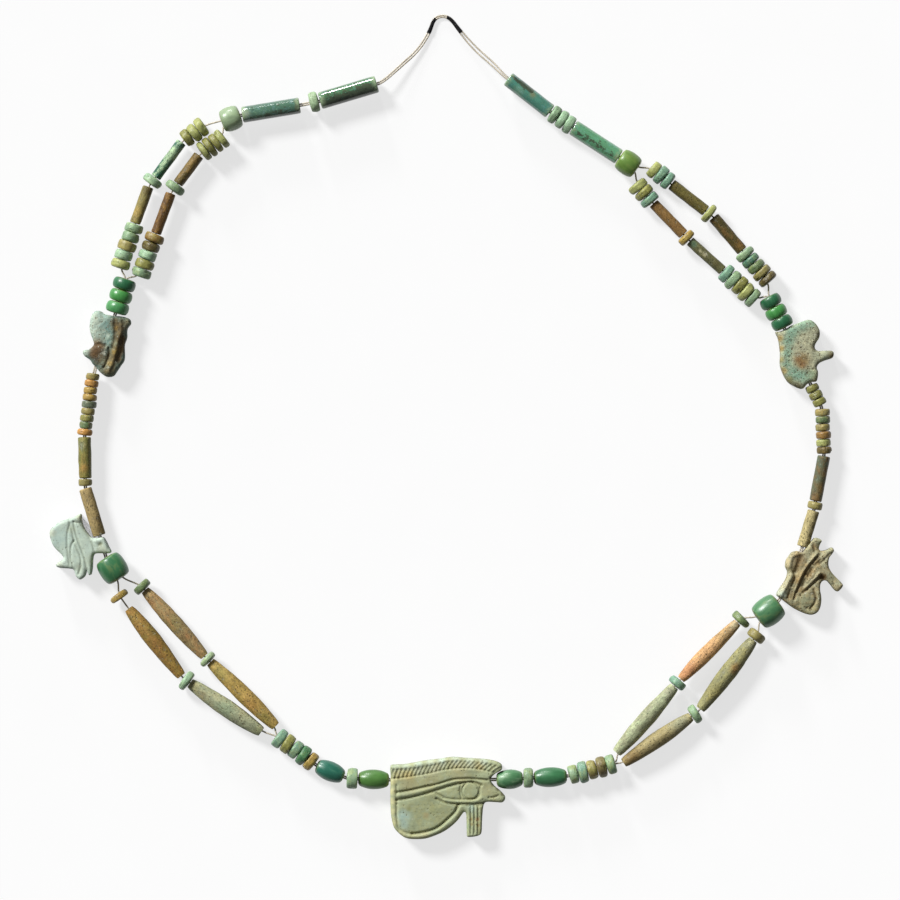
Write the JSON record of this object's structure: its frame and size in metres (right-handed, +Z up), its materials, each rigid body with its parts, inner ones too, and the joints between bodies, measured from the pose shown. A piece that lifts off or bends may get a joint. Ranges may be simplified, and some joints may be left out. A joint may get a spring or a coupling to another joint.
{
  "type": "wedjat eye amulet necklace",
  "caption": "Strung faience necklace of wedjat eye amulets with disc, tube, spindle and barrel beads on a double thread, lying flat as an open loop; each amulet and bead turns on the thread.",
  "frame": {"origin": "centre of the strung loop's box, at the level that its amulets rest on; the free thread is not counted", "axes": "+Z up from the surface that the necklace lies on, +Y from the large front amulet towards the free thread at the back, +X to the right as seen from above"},
  "size_m": [0.1742, 0.1811, 0.0064],
  "materials": {
    "pale_faience": "matt, pale yellow-grey, worn",
    "celadon_faience": "matt, pale grey-green",
    "bone_faience": "matt, bone grey with brown recesses",
    "turquoise_faience": "grainy, faded turquoise with brown patches",
    "sage_faience": "half matt, pale green to olive, worn rims",
    "sandy_faience": "matt, sandy with fine specks",
    "brown_faience": "matt, olive brown with mottling",
    "ochre_faience": "half matt, ochre to orange",
    "green_glaze": "glossy deep green",
    "mottled_glaze": "glossy teal with black mottling",
    "thread": "dull twisted thread, pale beige",
    "black_binding": "dull black wound thread"
  },
  "bodies": {
    "thread": {"junction_beads": "green_glaze", "wedged_rings": "sage_faience", "outer_thread": "thread", "inner_thread": "thread", "free_thread": "thread", "black_bindings": "black_binding"},
    "left_barrel_spacer_ring": {"left_barrel_spacer_ring": "sage_faience"},
    "left_glossy_beads": {"left_glossy_beads": "green_glaze"},
    "left_inner_barrel_bead": {"left_inner_barrel_bead": "green_glaze"},
    "left_lower_side_tube": {"left_lower_side_tube": "brown_faience"},
    "left_outer_barrel_bead": {"left_outer_barrel_bead": "green_glaze"},
    "left_side_spacer_bead": {"left_side_spacer_bead": "ochre_faience"},
    "left_small_beads": {"left_small_beads": "ochre_faience"},
    "left_upper_side_tube": {"left_upper_side_tube": "brown_faience"},
    "lower_left_disc_beads": {"lower_left_disc_beads": "sage_faience"},
    "lower_left_inner_back_spindle": {"lower_left_inner_back_spindle": "sandy_faience"},
    "lower_left_inner_front_spindle": {"lower_left_inner_front_spindle": "sandy_faience"},
    "lower_left_outer_back_spindle": {"lower_left_outer_back_spindle": "sandy_faience"},
    "lower_left_outer_front_spindle": {"lower_left_outer_front_spindle": "sandy_faience"},
    "lower_left_wedjat_amulet": {"lower_left_wedjat_amulet": "celadon_faience"},
    "lower_right_disc_beads": {"lower_right_disc_beads": "sage_faience"},
    "lower_right_inner_back_spindle": {"lower_right_inner_back_spindle": "sandy_faience"},
    "lower_right_inner_front_spindle": {"lower_right_inner_front_spindle": "sandy_faience"},
    "lower_right_outer_back_spindle": {"lower_right_outer_back_spindle": "sandy_faience"},
    "lower_right_outer_front_spindle": {"lower_right_outer_front_spindle": "sandy_faience"},
    "lower_right_wedjat_amulet": {"lower_right_wedjat_amulet": "bone_faience"},
    "main_wedjat_amulet": {"main_wedjat_amulet": "pale_faience"},
    "right_barrel_spacer_ring": {"right_barrel_spacer_ring": "sage_faience"},
    "right_glossy_beads": {"right_glossy_beads": "green_glaze"},
    "right_inner_barrel_bead": {"right_inner_barrel_bead": "green_glaze"},
    "right_lower_side_tube": {"right_lower_side_tube": "brown_faience"},
    "right_lower_small_beads": {"right_lower_small_beads": "ochre_faience"},
    "right_outer_barrel_bead": {"right_outer_barrel_bead": "green_glaze"},
    "right_side_spacer_bead": {"right_side_spacer_bead": "ochre_faience"},
    "right_upper_side_tube": {"right_upper_side_tube": "brown_faience"},
    "right_upper_small_beads": {"right_upper_small_beads": "ochre_faience"},
    "upper_left_back_wide_tube": {"upper_left_back_wide_tube": "mottled_glaze"},
    "upper_left_front_wide_tube": {"upper_left_front_wide_tube": "mottled_glaze"},
    "upper_left_inner_back_rings": {"upper_left_inner_back_rings": "sage_faience"},
    "upper_left_inner_back_tube": {"upper_left_inner_back_tube": "brown_faience"},
    "upper_left_inner_side_rings": {"upper_left_inner_side_rings": "sage_faience"},
    "upper_left_inner_side_tube": {"upper_left_inner_side_tube": "brown_faience"},
    "upper_left_outer_back_rings": {"upper_left_outer_back_rings": "sage_faience"},
    "upper_left_outer_back_tube": {"upper_left_outer_back_tube": "brown_faience"},
    "upper_left_outer_side_rings": {"upper_left_outer_side_rings": "sage_faience"},
    "upper_left_outer_side_tube": {"upper_left_outer_side_tube": "brown_faience"},
    "upper_left_spacer_ring": {"upper_left_spacer_ring": "sage_faience"},
    "upper_left_wedjat_amulet": {"upper_left_wedjat_amulet": "turquoise_faience"},
    "upper_right_back_wide_tube": {"upper_right_back_wide_tube": "mottled_glaze"},
    "upper_right_disc_beads": {"upper_right_disc_beads": "sage_faience"},
    "upper_right_front_wide_tube": {"upper_right_front_wide_tube": "mottled_glaze"},
    "upper_right_inner_back_rings": {"upper_right_inner_back_rings": "sage_faience"},
    "upper_right_inner_back_tube": {"upper_right_inner_back_tube": "brown_faience"},
    "upper_right_inner_side_rings": {"upper_right_inner_side_rings": "sage_faience"},
    "upper_right_inner_side_tube": {"upper_right_inner_side_tube": "brown_faience"},
    "upper_right_outer_back_rings": {"upper_right_outer_back_rings": "sage_faience"},
    "upper_right_outer_back_tube": {"upper_right_outer_back_tube": "brown_faience"},
    "upper_right_outer_side_rings": {"upper_right_outer_side_rings": "sage_faience"},
    "upper_right_outer_side_tube": {"upper_right_outer_side_tube": "brown_faience"},
    "upper_right_wedjat_amulet": {"upper_right_wedjat_amulet": "turquoise_faience"}
  },
  "joints": [
    {"name": "left_barrel_spacer_ring_turn", "type": "hinge", "parent": "thread", "child": "left_barrel_spacer_ring", "pos_m": [-0.02065, -0.07085, 0.0026], "axis": [-0.9993, 0.0384, 0], "continuous": true},
    {"name": "left_glossy_beads_turn", "type": "hinge", "parent": "thread", "child": "left_glossy_beads", "pos_m": [-0.07145, 0.03509, 0.0026], "axis": [0.284, 0.9588, 0], "continuous": true},
    {"name": "left_inner_barrel_bead_turn", "type": "hinge", "parent": "thread", "child": "left_inner_barrel_bead", "pos_m": [-0.01597, -0.07103, 0.0026], "axis": [-0.9993, 0.0384, 0], "continuous": true},
    {"name": "left_lower_side_tube_turn", "type": "hinge", "parent": "thread", "child": "left_lower_side_tube", "pos_m": [-0.07768, -0.01233, 0.0026], "axis": [-0.2924, 0.9563, 0], "continuous": true},
    {"name": "left_outer_barrel_bead_turn", "type": "hinge", "parent": "thread", "child": "left_outer_barrel_bead", "pos_m": [-0.02553, -0.06923, 0.0026], "axis": [-0.9198, 0.3923, 0], "continuous": true},
    {"name": "left_side_spacer_bead_turn", "type": "hinge", "parent": "thread", "child": "left_side_spacer_bead", "pos_m": [-0.07927, -0.00585, 0.0026], "axis": [-0.014, 0.9999, 0], "continuous": true},
    {"name": "left_small_beads_turn", "type": "hinge", "parent": "thread", "child": "left_small_beads", "pos_m": [-0.07846, 0.01129, 0.0026], "axis": [0.1323, 0.9912, 0], "continuous": true},
    {"name": "left_upper_side_tube_turn", "type": "hinge", "parent": "thread", "child": "left_upper_side_tube", "pos_m": [-0.07935, -0.00042, 0.0026], "axis": [-0.014, 0.9999, 0], "continuous": true},
    {"name": "lower_left_disc_beads_turn", "type": "hinge", "parent": "thread", "child": "lower_left_disc_beads", "pos_m": [-0.03311, -0.06453, 0.0026], "axis": [-0.8018, 0.5976, 0], "continuous": true},
    {"name": "lower_left_inner_back_spindle_turn", "type": "hinge", "parent": "thread", "child": "lower_left_inner_back_spindle", "pos_m": [-0.05963, -0.03673, 0.0026], "axis": [-0.6687, 0.7436, 0], "continuous": true},
    {"name": "lower_left_inner_front_spindle_turn", "type": "hinge", "parent": "thread", "child": "lower_left_inner_front_spindle", "pos_m": [-0.04464, -0.0523, 0.0026], "axis": [-0.714, 0.7001, 0], "continuous": true},
    {"name": "lower_left_outer_back_spindle_turn", "type": "hinge", "parent": "thread", "child": "lower_left_outer_back_spindle", "pos_m": [-0.06396, -0.04093, 0.0026], "axis": [-0.6175, 0.7865, 0], "continuous": true},
    {"name": "lower_left_outer_front_spindle_turn", "type": "hinge", "parent": "thread", "child": "lower_left_outer_front_spindle", "pos_m": [-0.04843, -0.05521, 0.0026], "axis": [-0.8255, 0.5645, 0], "continuous": true},
    {"name": "lower_left_wedjat_amulet_turn", "type": "hinge", "parent": "thread", "child": "lower_left_wedjat_amulet", "pos_m": [-0.07545, -0.01974, 0.0026], "axis": [-0.2753, 0.9614, 0], "range_deg": [-140, 60]},
    {"name": "lower_right_disc_beads_turn", "type": "hinge", "parent": "thread", "child": "lower_right_disc_beads", "pos_m": [0.032, -0.06879, 0.0026], "axis": [0.9636, 0.2672, 0], "continuous": true},
    {"name": "lower_right_inner_back_spindle_turn", "type": "hinge", "parent": "thread", "child": "lower_right_inner_back_spindle", "pos_m": [0.05769, -0.0428, 0.0026], "axis": [0.7064, 0.7078, 0], "continuous": true},
    {"name": "lower_right_inner_front_spindle_turn", "type": "hinge", "parent": "thread", "child": "lower_right_inner_front_spindle", "pos_m": [0.04371, -0.05789, 0.0026], "axis": [0.658, 0.753, 0], "continuous": true},
    {"name": "lower_right_outer_back_spindle_turn", "type": "hinge", "parent": "thread", "child": "lower_right_outer_back_spindle", "pos_m": [0.06154, -0.04801, 0.0026], "axis": [0.6075, 0.7943, 0], "continuous": true},
    {"name": "lower_right_outer_front_spindle_turn", "type": "hinge", "parent": "thread", "child": "lower_right_outer_front_spindle", "pos_m": [0.04629, -0.06232, 0.0026], "axis": [0.8252, 0.5648, 0], "continuous": true},
    {"name": "lower_right_wedjat_amulet_turn", "type": "hinge", "parent": "thread", "child": "lower_right_wedjat_amulet", "pos_m": [0.07561, -0.02615, 0.0026], "axis": [0.4048, 0.9144, 0], "range_deg": [-50, 90]},
    {"name": "main_wedjat_amulet_turn", "type": "hinge", "parent": "thread", "child": "main_wedjat_amulet", "pos_m": [-0.0014, -0.07117, 0.0026], "axis": [1, 0, 0], "continuous": true},
    {"name": "right_barrel_spacer_ring_turn", "type": "hinge", "parent": "thread", "child": "right_barrel_spacer_ring", "pos_m": [0.01799, -0.07075, 0.0026], "axis": [0.9988, 0.0489, 0], "continuous": true},
    {"name": "right_glossy_beads_turn", "type": "hinge", "parent": "thread", "child": "right_glossy_beads", "pos_m": [0.07239, 0.03152, 0.0026], "axis": [-0.4587, 0.8886, 0], "continuous": true},
    {"name": "right_inner_barrel_bead_turn", "type": "hinge", "parent": "thread", "child": "right_inner_barrel_bead", "pos_m": [0.0139, -0.07095, 0.0026], "axis": [0.9988, 0.0489, 0], "continuous": true},
    {"name": "right_lower_side_tube_turn", "type": "hinge", "parent": "thread", "child": "right_lower_side_tube", "pos_m": [0.07942, -0.01599, 0.0026], "axis": [0.294, 0.9558, 0], "continuous": true},
    {"name": "right_lower_small_beads_turn", "type": "hinge", "parent": "thread", "child": "right_lower_small_beads", "pos_m": [0.08271, 0.00539, 0.0026], "axis": [-0.0366, 0.9993, 0], "continuous": true},
    {"name": "right_outer_barrel_bead_turn", "type": "hinge", "parent": "thread", "child": "right_outer_barrel_bead", "pos_m": [0.02281, -0.07052, 0.0026], "axis": [0.9988, 0.0489, 0], "continuous": true},
    {"name": "right_side_spacer_bead_turn", "type": "hinge", "parent": "thread", "child": "right_side_spacer_bead", "pos_m": [0.08086, -0.0109, 0.0026], "axis": [0.1857, 0.9826, 0], "continuous": true},
    {"name": "right_upper_side_tube_turn", "type": "hinge", "parent": "thread", "child": "right_upper_side_tube", "pos_m": [0.08197, -0.00499, 0.0026], "axis": [0.1857, 0.9826, 0], "continuous": true},
    {"name": "right_upper_small_beads_turn", "type": "hinge", "parent": "thread", "child": "right_upper_small_beads", "pos_m": [0.08109, 0.01331, 0.0026], "axis": [-0.4368, 0.8996, 0], "continuous": true},
    {"name": "upper_left_back_wide_tube_turn", "type": "hinge", "parent": "thread", "child": "upper_left_back_wide_tube", "pos_m": [-0.02149, 0.07973, 0.0026], "axis": [0.9578, 0.2874, 0], "continuous": true},
    {"name": "upper_left_front_wide_tube_turn", "type": "hinge", "parent": "thread", "child": "upper_left_front_wide_tube", "pos_m": [-0.03847, 0.07588, 0.0026], "axis": [0.9866, 0.1633, 0], "continuous": true},
    {"name": "upper_left_inner_back_rings_turn", "type": "hinge", "parent": "thread", "child": "upper_left_inner_back_rings", "pos_m": [-0.05125, 0.06825, 0.0026], "axis": [0.8018, 0.5976, 0], "continuous": true},
    {"name": "upper_left_inner_back_tube_turn", "type": "hinge", "parent": "thread", "child": "upper_left_inner_back_tube", "pos_m": [-0.05662, 0.06285, 0.0026], "axis": [0.5963, 0.8028, 0], "continuous": true},
    {"name": "upper_left_inner_side_rings_turn", "type": "hinge", "parent": "thread", "child": "upper_left_inner_side_rings", "pos_m": [-0.06553, 0.04396, 0.0026], "axis": [0.3454, 0.9385, 0], "continuous": true},
    {"name": "upper_left_inner_side_tube_turn", "type": "hinge", "parent": "thread", "child": "upper_left_inner_side_tube", "pos_m": [-0.06213, 0.05321, 0.0026], "axis": [0.3454, 0.9385, 0], "continuous": true},
    {"name": "upper_left_outer_back_rings_turn", "type": "hinge", "parent": "thread", "child": "upper_left_outer_back_rings", "pos_m": [-0.05536, 0.07096, 0.0026], "axis": [0.7941, 0.6078, 0], "continuous": true},
    {"name": "upper_left_outer_back_tube_turn", "type": "hinge", "parent": "thread", "child": "upper_left_outer_back_tube", "pos_m": [-0.06097, 0.065, 0.0026], "axis": [0.5958, 0.8031, 0], "continuous": true},
    {"name": "upper_left_outer_side_rings_turn", "type": "hinge", "parent": "thread", "child": "upper_left_outer_side_rings", "pos_m": [-0.07007, 0.04603, 0.0026], "axis": [0.3383, 0.941, 0], "continuous": true},
    {"name": "upper_left_outer_side_tube_turn", "type": "hinge", "parent": "thread", "child": "upper_left_outer_side_tube", "pos_m": [-0.06683, 0.05503, 0.0026], "axis": [0.3383, 0.941, 0], "continuous": true},
    {"name": "upper_left_spacer_ring_turn", "type": "hinge", "parent": "thread", "child": "upper_left_spacer_ring", "pos_m": [-0.02902, 0.07757, 0.0026], "axis": [0.9796, 0.2011, 0], "continuous": true},
    {"name": "upper_left_wedjat_amulet_turn", "type": "hinge", "parent": "thread", "child": "upper_left_wedjat_amulet", "pos_m": [-0.07491, 0.02502, 0.0026], "axis": [0.3548, 0.9349, 0], "range_deg": [-50, 50]},
    {"name": "upper_right_back_wide_tube_turn", "type": "hinge", "parent": "thread", "child": "upper_right_back_wide_tube", "pos_m": [0.01816, 0.07914, 0.0026], "axis": [-0.788, 0.6157, 0], "continuous": true},
    {"name": "upper_right_disc_beads_turn", "type": "hinge", "parent": "thread", "child": "upper_right_disc_beads", "pos_m": [0.02535, 0.07379, 0.0026], "axis": [-0.831, 0.5563, 0], "continuous": true},
    {"name": "upper_right_front_wide_tube_turn", "type": "hinge", "parent": "thread", "child": "upper_right_front_wide_tube", "pos_m": [0.03286, 0.06886, 0.0026], "axis": [-0.8387, 0.5446, 0], "continuous": true},
    {"name": "upper_right_inner_back_rings_turn", "type": "hinge", "parent": "thread", "child": "upper_right_inner_back_rings", "pos_m": [0.04339, 0.05774, 0.0026], "axis": [-0.6552, 0.7555, 0], "continuous": true},
    {"name": "upper_right_inner_back_tube_turn", "type": "hinge", "parent": "thread", "child": "upper_right_inner_back_tube", "pos_m": [0.04874, 0.05199, 0.0026], "axis": [-0.6976, 0.7165, 0], "continuous": true},
    {"name": "upper_right_inner_side_rings_turn", "type": "hinge", "parent": "thread", "child": "upper_right_inner_side_rings", "pos_m": [0.06436, 0.03734, 0.0026], "axis": [-0.7435, 0.6687, 0], "continuous": true},
    {"name": "upper_right_inner_side_tube_turn", "type": "hinge", "parent": "thread", "child": "upper_right_inner_side_tube", "pos_m": [0.05706, 0.0439, 0.0026], "axis": [-0.7435, 0.6687, 0], "continuous": true},
    {"name": "upper_right_outer_back_rings_turn", "type": "hinge", "parent": "thread", "child": "upper_right_outer_back_rings", "pos_m": [0.04707, 0.06158, 0.0026], "axis": [-0.7566, 0.6538, 0], "continuous": true},
    {"name": "upper_right_outer_back_tube_turn", "type": "hinge", "parent": "thread", "child": "upper_right_outer_back_tube", "pos_m": [0.05316, 0.05665, 0.0026], "axis": [-0.7898, 0.6133, 0], "continuous": true},
    {"name": "upper_right_outer_side_rings_turn", "type": "hinge", "parent": "thread", "child": "upper_right_outer_side_rings", "pos_m": [0.06799, 0.04152, 0.0026], "axis": [-0.6517, 0.7585, 0], "continuous": true},
    {"name": "upper_right_outer_side_tube_turn", "type": "hinge", "parent": "thread", "child": "upper_right_outer_side_tube", "pos_m": [0.06181, 0.04872, 0.0026], "axis": [-0.6517, 0.7585, 0], "continuous": true},
    {"name": "upper_right_wedjat_amulet_turn", "type": "hinge", "parent": "thread", "child": "upper_right_wedjat_amulet", "pos_m": [0.0771, 0.02179, 0.0026], "axis": [-0.4206, 0.9073, 0], "continuous": true}
  ]
}
